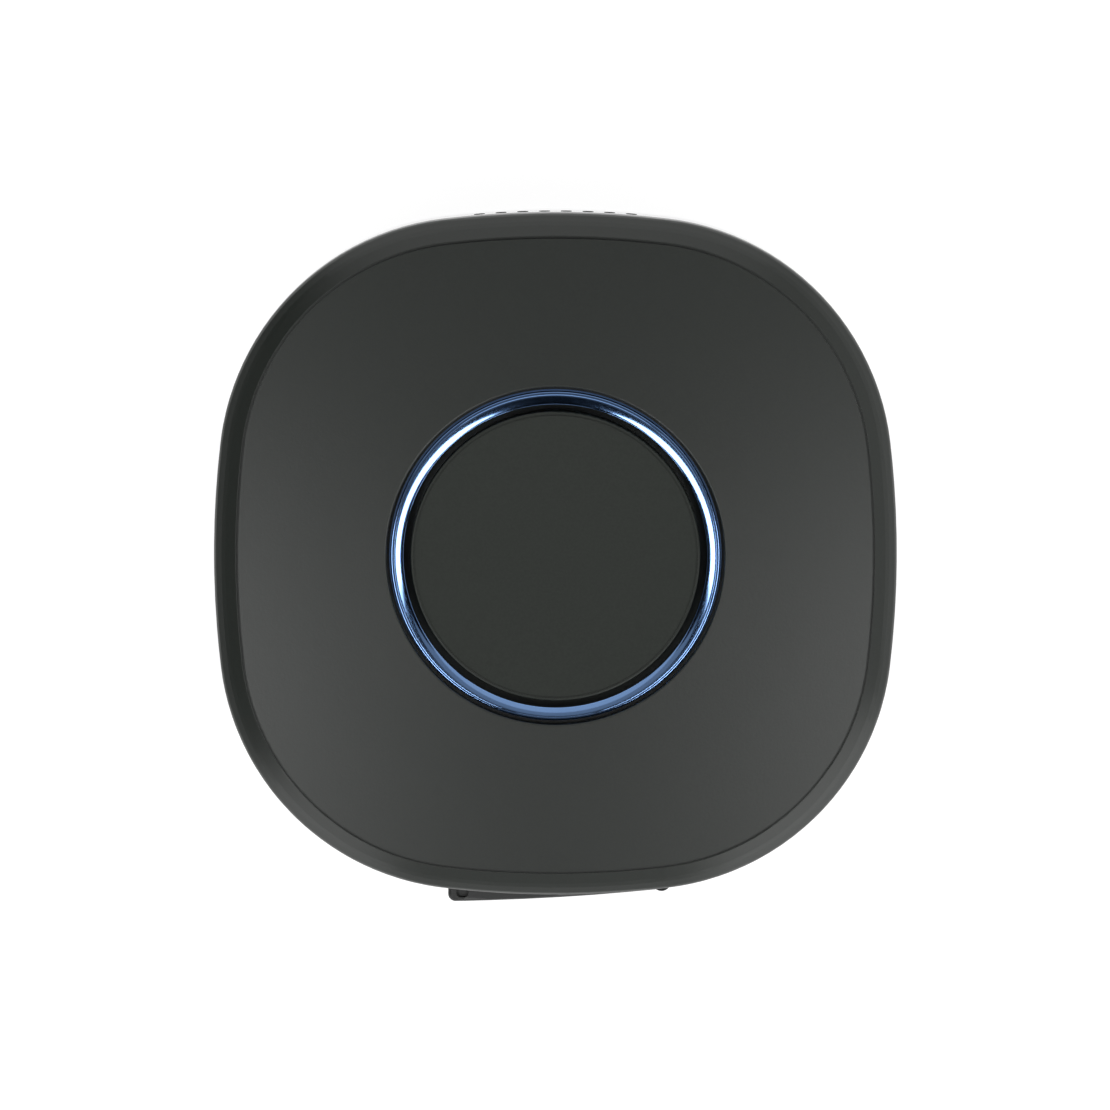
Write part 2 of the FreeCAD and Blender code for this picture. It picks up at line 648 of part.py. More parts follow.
def trim_ring():
    body = new_body("ring")
    flange_top = "face_height - face_thickness"
    apex = "ring_crown_radius - crown_round"
    inner_top = "ring_top - ring_crown_drop"
    turn(body, [
        ("ring_inner_radius", f"{flange_top} - ring_flange"),
        ("ring_flange_radius", f"{flange_top} - ring_flange"),
        ("ring_flange_radius", flange_top),
        ("ring_lip_radius", flange_top),
        ("ring_lip_radius", "ring_lip_top"),
        ("ring_crown_radius", "ring_lip_top"),
        ("ring_crown_radius", "ring_top - crown_round", "crown_round"),
        (apex, "ring_top", "ring_slope_radius"),
        ("ring_inner_radius", inner_top),
    ])
    round_edges(body, "0.12", lambda e: level(e, "ring_lip_top") and circular(e, "ring_lip_radius"))
    round_edges(body, "0.06", lambda e: level(e, inner_top))
    keep("trim_ring", body)


def button_cap():
    body = new_body("cap")
    groove_out = "cap_groove_radius + cap_groove_width / 2"
    groove_in = "cap_groove_radius - cap_groove_width / 2"
    dish = f"cap_top - cap_dish_radius + sqrt(cap_dish_radius ^ 2 - ({groove_in}) ^ 2)"
    turn(body, [
        ("0", "stem_bottom"),
        ("stem_radius", "stem_bottom"),
        ("stem_radius", "cap_plate_bottom"),
        ("cap_radius - cap_wall", "cap_plate_bottom"),
        ("cap_radius - cap_wall", "cap_bottom"),
        ("cap_skirt_radius", "cap_bottom"),
        ("cap_skirt_radius", "cap_flange_top - cap_flange"),
        ("cap_flange_radius", "cap_flange_top - cap_flange"),
        ("cap_flange_radius", "cap_flange_top"),
        ("cap_radius", "cap_flange_top"),
        ("cap_radius", "cap_top - cap_round", "cap_round"),
        ("cap_radius - cap_round", "cap_top"),
        (groove_out, "cap_top"),
        (groove_out, "cap_top - cap_groove_depth"),
        (groove_in, "cap_top - cap_groove_depth"),
        (groove_in, "cap_top", "-cap_dish_radius"),
        ("0", dish),
    ])
    ribs = new_sketch(body, "XY_Plane", "cap_plate_bottom - 1.2")
    add_rectangle(ribs, "stem_radius - 0.3", "spring_radius - 0.7", "-0.4", "0.4")
    rib = pad(body, ribs, "1.3")
    repeat_round(body, rib, ribs, 6)
    keep("button_cap", body)


def button_frame():
    body = new_body("frame")
    guide, outer = "frame_guide_radius", "frame_outer_radius"
    ring_bottom = "face_height - face_thickness - ring_flange"
    turn(body, [
        ("frame_hole_radius", "frame_floor_bottom"),
        (outer, "frame_floor_bottom"),
        (outer, ring_bottom),
        (f"{outer} - frame_wall", ring_bottom),
        (f"{outer} - frame_wall", "frame_floor_top"),
        (f"{guide} + frame_wall", "frame_floor_top"),
        (f"{guide} + frame_wall", ring_bottom),
        (guide, ring_bottom),
        (guide, "frame_floor_top"),
        ("frame_hole_radius", "frame_floor_top"),
    ])
    ear = new_sketch(body, "XY_Plane", "ear_top - ear_thickness")
    half = "ear_width / 2"
    add_rounded(ear, f"{outer} - 0.4", f"ear_radius + {half}", f"-{half}", half, "0.8")
    repeat_round(body, pad(body, ear, "ear_thickness"), ear, 4)
    holes = new_sketch(body, "XY_Plane", "ear_top + 1")
    for degrees in range(0, 360, 90):
        add_circle(holes, *on_circle("ear_radius", degrees), "frame_screw_radius + 0.2")
    pocket(body, holes, "3")
    slot = new_sketch(body, "XY_Plane", "frame_floor_top + 1")
    half = "light_leg_width / 2 + 0.15"
    add_rectangle(slot, f"-({half})", half, "light_inner_radius - 0.06", "light_outer_radius + 0.04")
    repeat_round(body, pocket(body, slot, "3"), slot, len(LIGHT_LEG_ANGLES))
    keep("button_frame", body)


def frame_screws():
    screws = []
    for degrees in range(0, 360, 90):
        x, y = on_circle("ear_radius", degrees)
        head = cylinder(x, y, "ear_top - ear_thickness - 0.8", "1.1", "0.8")
        shank = cylinder(x, y, "ear_top - ear_thickness - 0.2", "frame_screw_radius", "ear_thickness + 1.8")
        recess = centred_block(x, y, "ear_top - ear_thickness - 1", "1.3", "0.3", "0.6")
        screws.append(cut_away(united(head, shank), recess))
    keep("frame_screws", group_of(*screws))


def light_guide():
    body = new_body("light")
    top = "cap_flange_top"
    turn(body, [
        ("light_inner_radius", "light_ring_bottom"),
        ("light_outer_radius", "light_ring_bottom"),
        ("light_outer_radius", top),
        ("light_inner_radius", top),
    ])
    leg = new_sketch(body, "XY_Plane", "board_top + led_height + 0.15")
    half = "light_leg_width / 2"
    add_rectangle(leg, f"-{half}", half, "light_inner_radius", "light_outer_radius - 0.02")
    foot = pad(body, leg, "light_ring_bottom - board_top - led_height + 0.15")
    repeat_round(body, foot, leg, len(LIGHT_LEG_ANGLES))
    keep("light_guide", body)


def status_leds():
    middle = "(light_inner_radius + light_outer_radius) / 2"
    lights = [centred_block(*on_circle(middle, a), "board_top", "1.6", "0.8", "led_height")
              for a in LIGHT_LEG_ANGLES]
    keep("status_leds", group_of(*lights))


def return_spring():
    body = new_body("spring")
    wire = "spring_wire / 2"
    profile = new_sketch(body, "XZ_Plane")
    add_circle(profile, "spring_radius", f"frame_floor_top + {wire} + 0.03", wire)
    coil = body.newObject("PartDesign::AdditiveHelix", "coil")
    coil.Profile = profile
    coil.ReferenceAxis = (profile, ["V_Axis"])
    coil.Mode = "height-turns-angle"
    bind(coil, Height="cap_plate_bottom - frame_floor_top - spring_wire - 0.06", Turns="spring_turns")
    check_feature(body, coil, True)
    keep("return_spring", body)


# ------------------------------------------------------------------------------------- switch

def tact_switch():
    base = centred_block("0", "0", "board_top", "switch_side", "switch_side", "switch_body_top - board_top")
    well = cylinder("0", "0", "plunger_bottom - 0.75", "plunger_radius + 0.1", "3")
    keep("switch_base", cut_away(base, well))
    side = "switch_side"
    plate = centred_block("0", "0", "switch_body_top", side, side, "switch_top - switch_body_top")
    window = cylinder("0", "0", "switch_body_top - 1", "plunger_radius + 0.1", "3")
    keep("switch_cover", cut_away(plate, window))
    stick = cylinder("0", "0", "plunger_bottom", "plunger_radius", "plunger_top - plunger_bottom")
    keep("switch_plunger", stick)


# ------------------------------------------------------------------------------------- main board

def main_board():
    body = new_body("board")
    outline = new_sketch(body, "XY_Plane", "board_bottom")
    add_outline(outline, "board_half")
    for x, y in at_corners("screw_spacing"):
        add_circle(outline, x, y, "screw_radius + 0.25")
    pad(body, outline, "board_top - board_bottom")
    keep("main_board", body)


def radio_module():
    left, bottom, length, width = "-18.6", "-4", "11.6", "12.4"
    board = block(left, bottom, "board_top", length, width, "module_board_top - board_top")
    keep("module_board", board)
    can = ("-15.8", "-3.5", "module_board_top", "8.3", "11.4", "shield_top - module_board_top")
    inside = ("-15.6", "-3.3", "module_board_top - 1", "7.9", "11", "shield_top - module_board_top + 0.8")
    keep("shield_can", cut_away(block(*can), block(*inside)))
    keep("chip_antenna", block("-18.1", "0.6", "module_board_top", "1.3", "3.2", "0.6"))


def chips():
    keep("audio_chip", centred_block("9.4", "3.2", "board_top", "5", "5", "0.9"))
    keep("power_chip", centred_block("-3.2", "-10.6", "board_top", "3", "3", "1"))
    keep("crystal", centred_block("3.4", "9.6", "board_top", "3.2", "2.5", "0.8"))
    cans = []
    for y in ("4.8", "-4.8"):
        base = centred_block("17", y, "board_top", "4.3", "4.3", "0.8")
        can = cylinder("17", y, "board_top + 0.7", "2", "4.5")
        cans.append(united(base, can))
    keep("coupling_capacitors", group_of(*cans))
    passives = [centred_block(str(6.6 + 1.9 * i), "7.4", "board_top", "1", "0.5", "0.45") for i in range(2)]
    passives += [centred_block(str(5.6 + 1.9 * i), "-1.6", "board_top", "1", "0.5", "0.45") for i in range(4)]
    passives += [centred_block(str(1.8 * i - 9.4), "-14.6", "board_top", "1", "0.5", "0.5") for i in range(5)]
    passives += [centred_block("-4.8", str(1.3 * i + 4.4), "board_top", "1", "0.5", "0.45") for i in range(4)]
    keep("small_components", group_of(*passives))


# ------------------------------------------------------------------------------------- sockets

def audio_jack():
    back = "-(jack_front - jack_length)"
    tall = "2 * (jack_height - board_top)"
    shell = block("jack_x - jack_width / 2", "-jack_front", "board_top", "jack_width", "jack_length", tall)
    nose = cylinder("jack_x", "-jack_nose_front", "jack_height", "jack_nose_radius",
                    "jack_nose_front - jack_front + 1", FreeCAD.Vector(0, 1, 0))
    bore = cylinder("jack_x", "-jack_nose_front - 1", "jack_height", "jack_bore",
                    "jack_nose_front + 1 - jack_bore_end", FreeCAD.Vector(0, 1, 0))
    keep("jack_body", cut_away(united(shell, nose), bore))
    contacts = []
    for side, along in ((1, 2.2), (1, 6.6), (-1, 4.4)):
        face = f"jack_x + {side} * jack_width / 2"
        y = f"{back} - {along + 2.2}"
        strip_x = face if side > 0 else f"{face} - 0.25"
        foot_x = face if side > 0 else f"{face} - 0.9"
        strip = block(strip_x, y, "board_top", "0.25", "2.2", "3.6")
        foot = block(foot_x, y, "board_top", "0.9", "2.2", "0.25")
        contacts.append(united(strip, foot))
    keep("jack_contacts", group_of(*contacts))


def usb_socket():
    left = "usb_x - usb_width / 2"
    case = block(left, "-usb_front", "board_top", "usb_width", "usb_length", "usb_tall")
    inside = block(f"{left} + usb_wall", "-usb_front - 1", "board_top + usb_wall", "usb_width - 2 * usb_wall",
                   "usb_length + 2", "usb_tall - 2 * usb_wall")
    keep("usb_shell", cut_away(case, inside))
    plug_end = "-(usb_front - usb_length)"
    core = block(f"{left} + usb_wall", f"{plug_end} - 1.6", "board_top + usb_wall",
                 "usb_width - 2 * usb_wall", "1.6", "usb_tall - 2 * usb_wall")
    tongue = block("usb_x - 1.75", "-usb_front + 0.7", "board_top + usb_tall - usb_wall - 0.85",
                   "3.5", "usb_length - 1.7", "0.6")
    keep("usb_tongue", united(core, tongue))
    strip_bottom = "board_top + usb_tall - usb_wall - 0.95"
    strips = [block(f"usb_x - 0.15 + {0.65 * i}", "-usb_front + 0.9", strip_bottom, "0.3", "3", "0.1")
              for i in range(-2, 3)]
    keep("usb_contacts", group_of(*strips))


def port_flap():
    body = new_body("flap")
    low, high = "bay_bottom + flap_gap", "bay_top - flap_gap"
    plate = new_sketch(body, "XY_Plane", low)
    add_profile(plate, [
        ("flap_left", "-flap_lip", "flap_bow"),
        ("hinge_x", "-(hinge_y + hinge_barrel)"),
        ("hinge_x", "-hinge_y"),
        ("hinge_x - 0.3", "-flap_inner"),
        ("flap_left", "-flap_inner"),
    ])
    pad(body, plate, f"{high} - ({low})")
    barrel = new_sketch(body, "XY_Plane", low)
    add_circle(barrel, "hinge_x", "-hinge_y", "hinge_barrel")
    pad(body, barrel, f"{high} - ({low})")
    left, lip = value("flap_left"), value("flap_lip")
    corner = Part.Vertex(left, -lip, value("jack_height"))
    round_edges(body, "0.55", lambda e: e.distToShape(corner)[0] < 1e-4)
    round_edges(body, "0.3", lambda e: (level(e, low) or level(e, high))
                and e.CenterOfMass.y < -value("hinge_y") - 0.2 and e.Length > 5)
    bore = new_sketch(body, "XY_Plane")
    add_circle(bore, "hinge_x", "-hinge_y", "hinge_pin_radius + hinge_running_gap")
    pocket(body, bore, "20", reverse=True)
    nail_notch = new_sketch(body, "XY_Plane", high)
    front, back = "-flap_lip + 0.3", "-flap_lip + 1.1"
    add_rounded(nail_notch, "flap_left + 0.6", "flap_left + 1.5", front, back, "0.35")
    pocket(body, nail_notch, "0.5")
    jack_stub = new_sketch(body, "XZ_Plane", "flap_inner")
    add_circle(jack_stub, "jack_x", "jack_height", "jack_stub_radius")
    usb_plug = new_sketch(body, "XZ_Plane", "flap_inner")
    middle = "board_top + usb_tall / 2"
    add_rounded(usb_plug, "usb_x - 2.8", "usb_x + 2.8", f"{middle} - 0.65", f"{middle} + 0.65", "0.3")
    for plug, length in ((jack_stub, "flap_inner - jack_nose_front - 0.1"), (usb_plug, "0.95")):
        pad(body, plug, length, reverse=True)
        tip = value(f"{length} - flap_inner")
        round_edges(body, "0.2", lambda e: abs(e.BoundBox.YMin - tip) + e.BoundBox.YLength < 1e-4)
    keep("port_flap", body)


def flap_pin():
    keep("flap_pin", cylinder("hinge_x", "-hinge_y", "bay_bottom - 0.95", "hinge_pin_radius",
                              "split_height - split_gap + 0.75 - bay_bottom"))


def vent_mesh():
    body = new_body("mesh")
    sketch = new_sketch(body, "XY_Plane", "vent_height - vent_tall / 2 - 0.8")
    outer_half = "half_width - rear_inset - shell_wall - 0.03"
    edges = []
    for inset in (0, 0.2):
        half = f"{outer_half} - {inset}"
        radius = f"side_radius - half_width + {half}"
        edges.append((f"{half} - ({radius}) + sqrt(({radius}) ^ 2 - 7.4 ^ 2)", radius))
    add_profile(sketch, [
        ("-7.4", edges[1][0], f"-({edges[1][1]})"),
        ("7.4", edges[1][0]),
        ("7.4", edges[0][0], edges[0][1]),
        ("-7.4", edges[0][0]),
    ])
    pad(body, sketch, "vent_tall + 1.6")
    keep("vent_mesh", body)


# ------------------------------------------------------------------------------------- battery

def battery():
    body = new_body("cell")
    section = new_sketch(body, "XZ_Plane", "-cell_length / 2 + 1.6")
    half, top = "cell_width / 2", "cell_bottom + cell_thickness"
    add_rounded(section, f"-{half}", half, "cell_bottom", top, "1.2")
    pad(body, section, "cell_length - 1.6")
    sealed_end = new_sketch(body, "XZ_Plane", "-cell_length / 2")
    add_rounded(sealed_end, "-cell_width / 2 + 0.8", "cell_width / 2 - 0.8", "cell_bottom + 0.7",
                "cell_bottom + cell_thickness - 0.5", "0.5")
    pad(body, sealed_end, "2")
    keep("battery_cell", body)
    floor_top = "base_height + shell_wall"
    keep("battery_tape", centred_block("0", "0", floor_top, "12", "22", f"cell_bottom - ({floor_top})"))


def battery_wire(label, side):
    """One insulated wire, from the plug on the board round the board's edge to the cell."""
    body = new_body("wire")
    x = f"{side} * wire_spacing / 2"
    path = new_sketch(body, "YZ_Plane", x)
    start, end = "18.9", "cell_length / 2"
    top, bottom, out, bend = "wire_socket_height", "wire_cell_height", "wire_outer_y", "wire_bend"
    places = [(start, top), (f"{out} - {bend}", top), (out, f"{top} - {bend}"), (out, f"{bottom} + {bend}"),
              (f"{out} - {bend}", bottom), (end, bottom)]
    points = [FreeCAD.Vector(value(y), value(z), 0) for y, z in places]
    r = value(bend)
    centres = [FreeCAD.Vector(value(out) - r, y, 0) for y in (value(top) - r, value(bottom) + r)]
    path.addGeometry(Part.LineSegment(points[0], points[1]), False)
    path.addGeometry(Part.ArcOfCircle(Part.Circle(centres[0], UP, r), 0, math.pi / 2), False)
    path.addGeometry(Part.LineSegment(points[2], points[3]), False)
    path.addGeometry(Part.ArcOfCircle(Part.Circle(centres[1], UP, r), 1.5 * math.pi, 2 * math.pi), False)
    path.addGeometry(Part.LineSegment(points[4], points[5]), False)
    for a, a_end, b, b_end in ((0, 2, 1, 2), (1, 1, 2, 1), (2, 2, 3, 2), (3, 1, 4, 1)):
        path.addConstraint(Sketcher.Constraint("Tangent", a, a_end, b, b_end))
    for line in (0, 4):
        path.addConstraint(Sketcher.Constraint("Horizontal", line))
    constrain(path, "DistanceX", -1, 1, 0, 1, start)
    constrain(path, "DistanceY", -1, 1, 0, 1, top)
    constrain(path, "DistanceX", -1, 1, 4, 2, end)
    constrain(path, "DistanceY", -1, 1, 4, 2, bottom)
    constrain(path, "DistanceX", -1, 1, 2, 1, out)
    path.addConstraint(Sketcher.Constraint("Vertical", 2))
    constrain(path, "Radius", 1, bend)
    constrain(path, "Radius", 3, bend)
    section = new_sketch(body, "XZ_Plane", f"-({start})")
    add_circle(section, x, top, "wire_radius")
    pipe = body.newObject("PartDesign::AdditivePipe", "pipe")
    pipe.Profile = section
    pipe.Spine = (path, [])
    check_feature(body, pipe, True)
    keep(label, body)


def battery_connector():
    low = "board_top"
    case = block("-2.5", "14.6", low, "5", "4.2", "3.2")
    inside = block("-2", "15.4", "board_top + 0.5", "4", "5", "2.2")
    keep("battery_socket", cut_away(case, inside))
    keep("battery_plug", block("-1.9", "15.6", "board_top + 0.6", "3.8", "3.3", "2"))


# ------------------------------------------------------------------------------------- build and write

def check_document():
    doc.removeObject(scratch.Name)
    doc.recompute()
    failed = [o.Label for o in doc.Objects if {"Invalid", "Error"} & set(o.State)]
    bad = [o.Label for o in sub_parts if o.Shape.isNull() or not o.Shape.isValid() or not o.Shape.Solids]
    if failed or bad:
        raise RuntimeError(f"failed objects {failed}, bad sub-parts {bad}")


def write_parts():
    os.makedirs("parts", exist_ok=True)
    for thing in sub_parts:
        thing.Shape.exportStep(f"parts/{thing.Label}.step")
        print(f"{thing.Label}: {len(thing.Shape.Solids)} solid(s), {thing.Shape.Volume:.1f} mm3")


fill_sheet()
rear_housing()
front_cover()
foot_pad()
case_screws()
trim_ring()
button_cap()
button_frame()
frame_screws()
light_guide()
status_leds()
return_spring()
tact_switch()
main_board()
radio_module()
chips()
audio_jack()
usb_socket()
port_flap()
flap_pin()
vent_mesh()
battery()
battery_wire("battery_wire_red", -1)
battery_wire("battery_wire_black", 1)
battery_connector()
check_document()
write_parts()
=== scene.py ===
import json
import math

import bpy
import bmesh
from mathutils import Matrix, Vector


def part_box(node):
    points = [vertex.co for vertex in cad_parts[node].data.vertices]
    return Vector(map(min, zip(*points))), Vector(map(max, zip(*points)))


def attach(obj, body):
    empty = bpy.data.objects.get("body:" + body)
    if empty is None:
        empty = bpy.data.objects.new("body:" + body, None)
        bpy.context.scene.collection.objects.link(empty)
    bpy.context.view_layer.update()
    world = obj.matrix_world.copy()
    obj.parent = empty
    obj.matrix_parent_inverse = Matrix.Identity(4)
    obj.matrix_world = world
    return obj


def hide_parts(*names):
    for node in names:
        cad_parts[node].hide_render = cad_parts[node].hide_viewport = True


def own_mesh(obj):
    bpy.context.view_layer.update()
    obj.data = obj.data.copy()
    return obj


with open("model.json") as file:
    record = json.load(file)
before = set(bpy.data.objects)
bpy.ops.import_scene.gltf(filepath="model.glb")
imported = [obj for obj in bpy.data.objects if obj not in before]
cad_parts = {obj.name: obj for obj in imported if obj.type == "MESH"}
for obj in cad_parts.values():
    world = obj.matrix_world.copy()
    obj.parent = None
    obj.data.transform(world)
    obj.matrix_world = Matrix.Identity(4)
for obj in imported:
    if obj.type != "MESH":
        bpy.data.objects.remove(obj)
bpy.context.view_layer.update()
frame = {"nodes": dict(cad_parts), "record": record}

MM = 0.001
CLOUD_EDGES = (0.3, 0.7)  # where in a noise's range its clouds begin and end


# ------------------------------------------------------------------------------------- node helpers

class Material:
    """A Principled material with procedural patterns in the object's own space.

    Scales are in features per metre, and relief depths are in metres.
    """

    def __init__(self, name, rough, metal=0.0, **extra):
        self.mat = bpy.data.materials.new(name)
        self.mat.use_nodes = True
        self.tree = self.mat.node_tree
        self.tree.nodes.clear()
        self.out = self.add("ShaderNodeOutputMaterial")
        self.shader = self.add("ShaderNodeBsdfPrincipled")
        self.join(self.shader.outputs[0], self.out.inputs["Surface"])
        self.shader.inputs["Roughness"].default_value = rough
        self.shader.inputs["Metallic"].default_value = metal
        for socket, number in extra.items():
            self.shader.inputs[socket.replace("_", " ")].default_value = number
        self.place = self.add("ShaderNodeTexCoord").outputs["Object"]

    def add(self, kind, **settings):
        node = self.tree.nodes.new(kind)
        for key, setting in settings.items():
            setattr(node, key, setting)
        return node

    def join(self, source, target):
        self.tree.links.new(source, target)

    def stretched(self, scale):
        """The object's coordinates, scaled along each axis."""
        node = self.add("ShaderNodeMapping")
        node.inputs["Scale"].default_value = scale
        self.join(self.place, node.inputs["Vector"])
        return node.outputs[0]

    def noise(self, scale, detail, vector=None):
        node = self.add("ShaderNodeTexNoise")
        node.inputs["Scale"].default_value = scale
        node.inputs["Detail"].default_value = detail
        node.inputs["Roughness"].default_value = 0.55
        self.join(vector or self.place, node.inputs["Vector"])
        return node.outputs["Fac"]

    def cells(self, scale, feature="F1"):
        node = self.add("ShaderNodeTexVoronoi", feature=feature)
        node.inputs["Scale"].default_value = scale
        self.join(self.place, node.inputs["Vector"])
        return node.outputs["Distance"]

    def ramp(self, factor, low, high):
        """0 below low and 1 above high."""
        node = self.add("ShaderNodeMapRange")
        node.inputs["From Min"].default_value = low
        node.inputs["From Max"].default_value = high
        self.join(factor, node.inputs["Value"])
        return node.outputs[0]

    def math(self, operation, a, b):
        node = self.add("ShaderNodeMath", operation=operation)
        self.join(a, node.inputs[0])
        self.join(b, node.inputs[1])
        return node.outputs[0]

    def mix(self, factor, a, b):
        node = self.add("ShaderNodeMix", data_type="RGBA")
        self.join(factor, node.inputs[0])
        for socket, value in ((node.inputs[6], a), (node.inputs[7], b)):
            if hasattr(value, "links"):
                self.join(value, socket)
            else:
                socket.default_value = (*value, 1.0)
        return node.outputs[2]

    def clouds(self, scale, detail, dark, light):
        """Soft clouds between two colours."""
        return self.mix(self.ramp(self.noise(scale, detail), *CLOUD_EDGES), dark, light)

    def colour(self, source):
        self.join(source, self.shader.inputs["Base Color"])
        return self

    def roughness(self, factor, low, high):
        """Roughness from low to high as the factor goes from 0 to 1."""
        node = self.add("ShaderNodeMapRange")
        node.inputs["To Min"].default_value = low
        node.inputs["To Max"].default_value = high
        self.join(factor, node.inputs["Value"])
        self.join(node.outputs[0], self.shader.inputs["Roughness"])
        return self

    def relief(self, factor, depth):
        """A bump of that depth, in the body and in its clear coat."""
        node = self.add("ShaderNodeBump")
        node.inputs["Distance"].default_value = depth
        node.inputs["Strength"].default_value = 1.0
        self.join(factor, node.inputs["Height"])
        for socket in ("Normal", "Coat Normal"):
            self.join(node.outputs[0], self.shader.inputs[socket])
        return self


def tones(colour, spread):
    """A darker and a lighter version of a colour."""
    return [tuple(min(1.0, c * change) for c in colour) for change in (1 - spread, 1 + spread)]


def moulded(name, colour, rough, grain, depth):
    """Moulded plastic or rubber: faint clouds in the colour, a fine grain and uneven gloss."""
    m = Material(name, rough)
    m.colour(m.clouds(90.0, 3.0, *tones(colour, 0.06)))
    fine = m.noise(grain, 2.0)
    m.roughness(fine, rough * 0.9, min(1.0, rough * 1.1))
    return m.relief(fine, depth).mat


def metal(name, colour, rough, stretch=(900.0, 9000.0, 9000.0)):
    """Sheet, wire or plated metal: fine drawn lines and faint staining."""
    m = Material(name, rough, 1.0)
    lines = m.noise(1.0, 3.0, vector=m.stretched(stretch))
    stains = m.noise(400.0, 4.0)
    m.colour(m.mix(m.ramp(stains, 0.35, 0.75), *tones(colour, 0.09)))
    m.roughness(lines, rough * 0.8, min(1.0, rough * 1.25))
    return m.relief(lines, 1e-6).mat


# ---------------------------------------------------------------------------------------- materials

def satin_cover(name, colour, rough, specular):
    """Soft-touch lacquer over moulded plastic: broad faint clouds and a very fine grain."""
    m = Material(name, rough, Specular_IOR_Level=specular)
    base = m.clouds(70.0, 3.0, *tones(colour, 0.03))
    speck = m.noise(5200.0, 2.0)
    m.colour(m.mix(m.ramp(speck, 0.35, 0.65), base, tuple(c * 1.12 for c in colour)))
    m.roughness(speck, rough - 0.03, rough + 0.03)
    return m.relief(speck, 4e-6).mat


def gloss_shell(name, colour):
    """Polished plastic under a clear coat, with a slight waviness."""
    m = Material(name, 0.22, Coat_Weight=1.0, Coat_Roughness=0.04)
    m.colour(m.clouds(60.0, 2.0, *tones(colour, 0.04)))
    m.roughness(m.noise(2600.0, 3.0), 0.19, 0.26)
    return m.relief(m.noise(420.0, 1.0), 1.2e-6).mat


def blue_plating(name):
    """Bright blue plating under a thin clear lacquer."""
    m = Material(name, 0.10, 1.0, Coat_Weight=0.6, Coat_Roughness=0.08)
    m.colour(m.clouds(500.0, 3.0, (0.20, 0.36, 0.69), (0.22, 0.39, 0.74)))
    fine = m.noise(2400.0, 3.0)
    m.roughness(fine, 0.08, 0.12)
    return m.relief(fine, 8e-8).mat


def board(name):
    """Solder mask with copper tracks showing through it, and plated holes."""
    m = Material(name, 0.32, Coat_Weight=0.5, Coat_Roughness=0.12)
    grid = m.add("ShaderNodeTexBrick")
    grid.inputs["Scale"].default_value = 420.0
    grid.inputs["Mortar Size"].default_value = 0.035
    grid.inputs["Brick Width"].default_value = 1.7
    m.join(m.place, grid.inputs["Vector"])
    tracks = m.mix(grid.outputs["Fac"], (0.012, 0.075, 0.030), (0.030, 0.150, 0.060))
    spots, where = m.ramp(m.cells(330.0), 0.16, 0.12), m.ramp(m.noise(150.0, 1.0), 0.52, 0.56)
    m.colour(m.mix(m.math("MULTIPLY", spots, where), tracks, (0.62, 0.43, 0.12)))
    return m.relief(grid.outputs["Fac"], 2e-5).mat


def mesh_cloth(name):
    """Fine woven mesh: threads along two directions."""
    m = Material(name, 0.85)
    threads = []
    for direction in ("Z", "X"):
        node = m.add("ShaderNodeTexWave", bands_direction=direction)
        node.inputs["Scale"].default_value = 1500.0
        m.join(m.place, node.inputs["Vector"])
        threads.append(node.outputs["Fac"])
    weave = m.math("MAXIMUM", *threads)
    m.colour(m.mix(weave, (0.003, 0.003, 0.003), (0.03, 0.03, 0.03)))
    return m.relief(weave, 3e-5).mat


def milky_guide(name):
    """Clear plastic that scatters light."""
    m = Material(name, 0.25, Transmission_Weight=0.7, IOR=1.49)
    m.colour(m.clouds(300.0, 2.0, (0.78, 0.84, 0.92), (0.90, 0.93, 0.97)))
    return m.relief(m.noise(2500.0, 2.0), 4e-6).mat


def pouch(name):
    """Aluminium-laminate pouch: crinkled foil."""
    m = Material(name, 0.30, 1.0)
    creases = m.cells(260.0, "DISTANCE_TO_EDGE")
    m.colour(m.clouds(200.0, 3.0, (0.50, 0.51, 0.53), (0.62, 0.63, 0.65)))
    return m.relief(m.ramp(creases, 0.0, 0.25), 1.2e-5).mat


